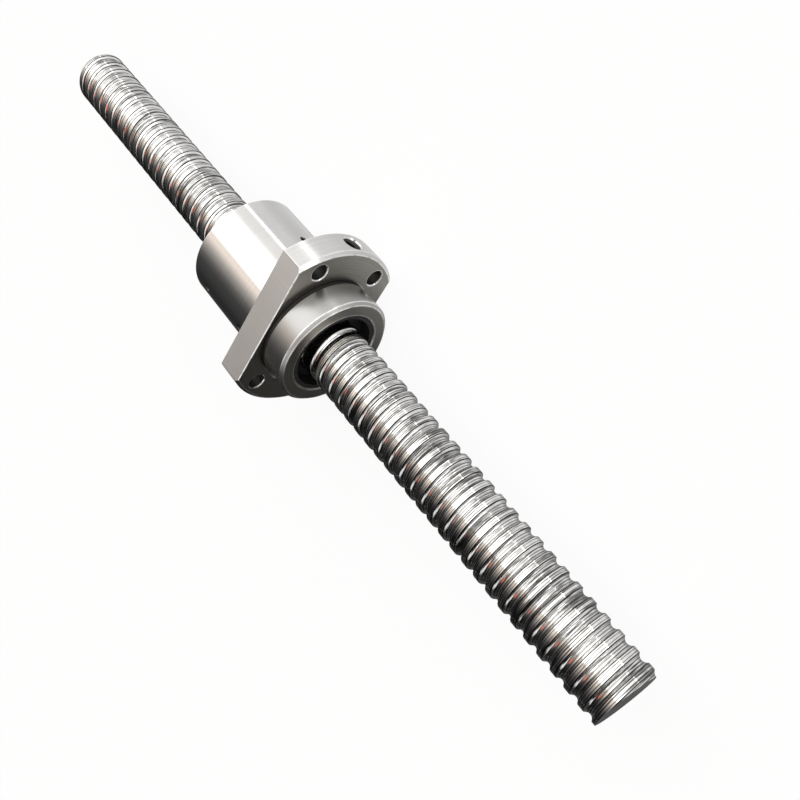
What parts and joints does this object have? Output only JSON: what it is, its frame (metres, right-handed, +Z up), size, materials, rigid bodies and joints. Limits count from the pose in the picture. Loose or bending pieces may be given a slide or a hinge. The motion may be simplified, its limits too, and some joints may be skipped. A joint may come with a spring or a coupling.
{
  "type": "ball screw",
  "caption": "Ball screw: a rolled shaft with a round helical track through a flanged nut with recirculating balls, plastic wipers, an oil port and a bolt flange with two flats",
  "frame": {"origin": "on the screw's axis, in the flange's mounting face, where the nut's round body meets the flange", "axes": "+X along the screw towards the nut's nose, +Y at the oil port in the flange's rim, +Z up at one of the flange's two flats; it lies on the other flat"},
  "size_m": [0.287, 0.0584, 0.04],
  "materials": {
    "screw_steel": "bright polished, hardened steel",
    "nut_steel": "finely ground satin steel",
    "ball_steel": "polished bearing steel",
    "insert_steel": "sintered steel, dull",
    "wiper_plastic": "black, moulded"
  },
  "bodies": {
    "nut": {"nut_body": "nut_steel", "return_insert_1": "insert_steel", "return_insert_2": "insert_steel", "return_insert_3": "insert_steel", "return_insert_4": "insert_steel", "front_wiper": "wiper_plastic", "rear_wiper": "wiper_plastic"},
    "ball_trains": {"circuit_1_return_balls": "ball_steel", "circuit_1_load_balls_1": "ball_steel", "circuit_1_load_balls_2": "ball_steel", "circuit_1_load_balls_3": "ball_steel", "circuit_2_return_balls": "ball_steel", "circuit_2_load_balls_1": "ball_steel", "circuit_2_load_balls_2": "ball_steel", "circuit_2_load_balls_3": "ball_steel", "circuit_3_return_balls": "ball_steel", "circuit_3_load_balls_1": "ball_steel", "circuit_3_load_balls_2": "ball_steel", "circuit_3_load_balls_3": "ball_steel", "circuit_4_return_balls": "ball_steel", "circuit_4_load_balls_1": "ball_steel", "circuit_4_load_balls_2": "ball_steel", "circuit_4_load_balls_3": "ball_steel"},
    "screw": {"screw_shaft": "screw_steel"}
  },
  "joints": [
    {"name": "screw_turn", "type": "hinge", "parent": "nut", "child": "ball_trains", "pos_m": [0, 0, 0], "axis": [1, 0, 0], "range_deg": [-8640, 7560], "deforming": ["circuit_1_return_balls", "circuit_1_load_balls_1", "circuit_1_load_balls_2", "circuit_1_load_balls_3", "circuit_2_return_balls", "circuit_2_load_balls_1", "circuit_2_load_balls_2", "circuit_2_load_balls_3", "circuit_3_return_balls", "circuit_3_load_balls_1", "circuit_3_load_balls_2", "circuit_3_load_balls_3", "circuit_4_return_balls", "circuit_4_load_balls_1", "circuit_4_load_balls_2", "circuit_4_load_balls_3"]},
    {"name": "screw_travel", "type": "slide", "parent": "ball_trains", "child": "screw", "axis": [1, 0, 0], "range_m": [-0.12, 0.105]}
  ],
  "couplings": [
    {"joint": "screw_travel", "follows": "screw_turn", "m_per_rad": 0.00079577}
  ]
}
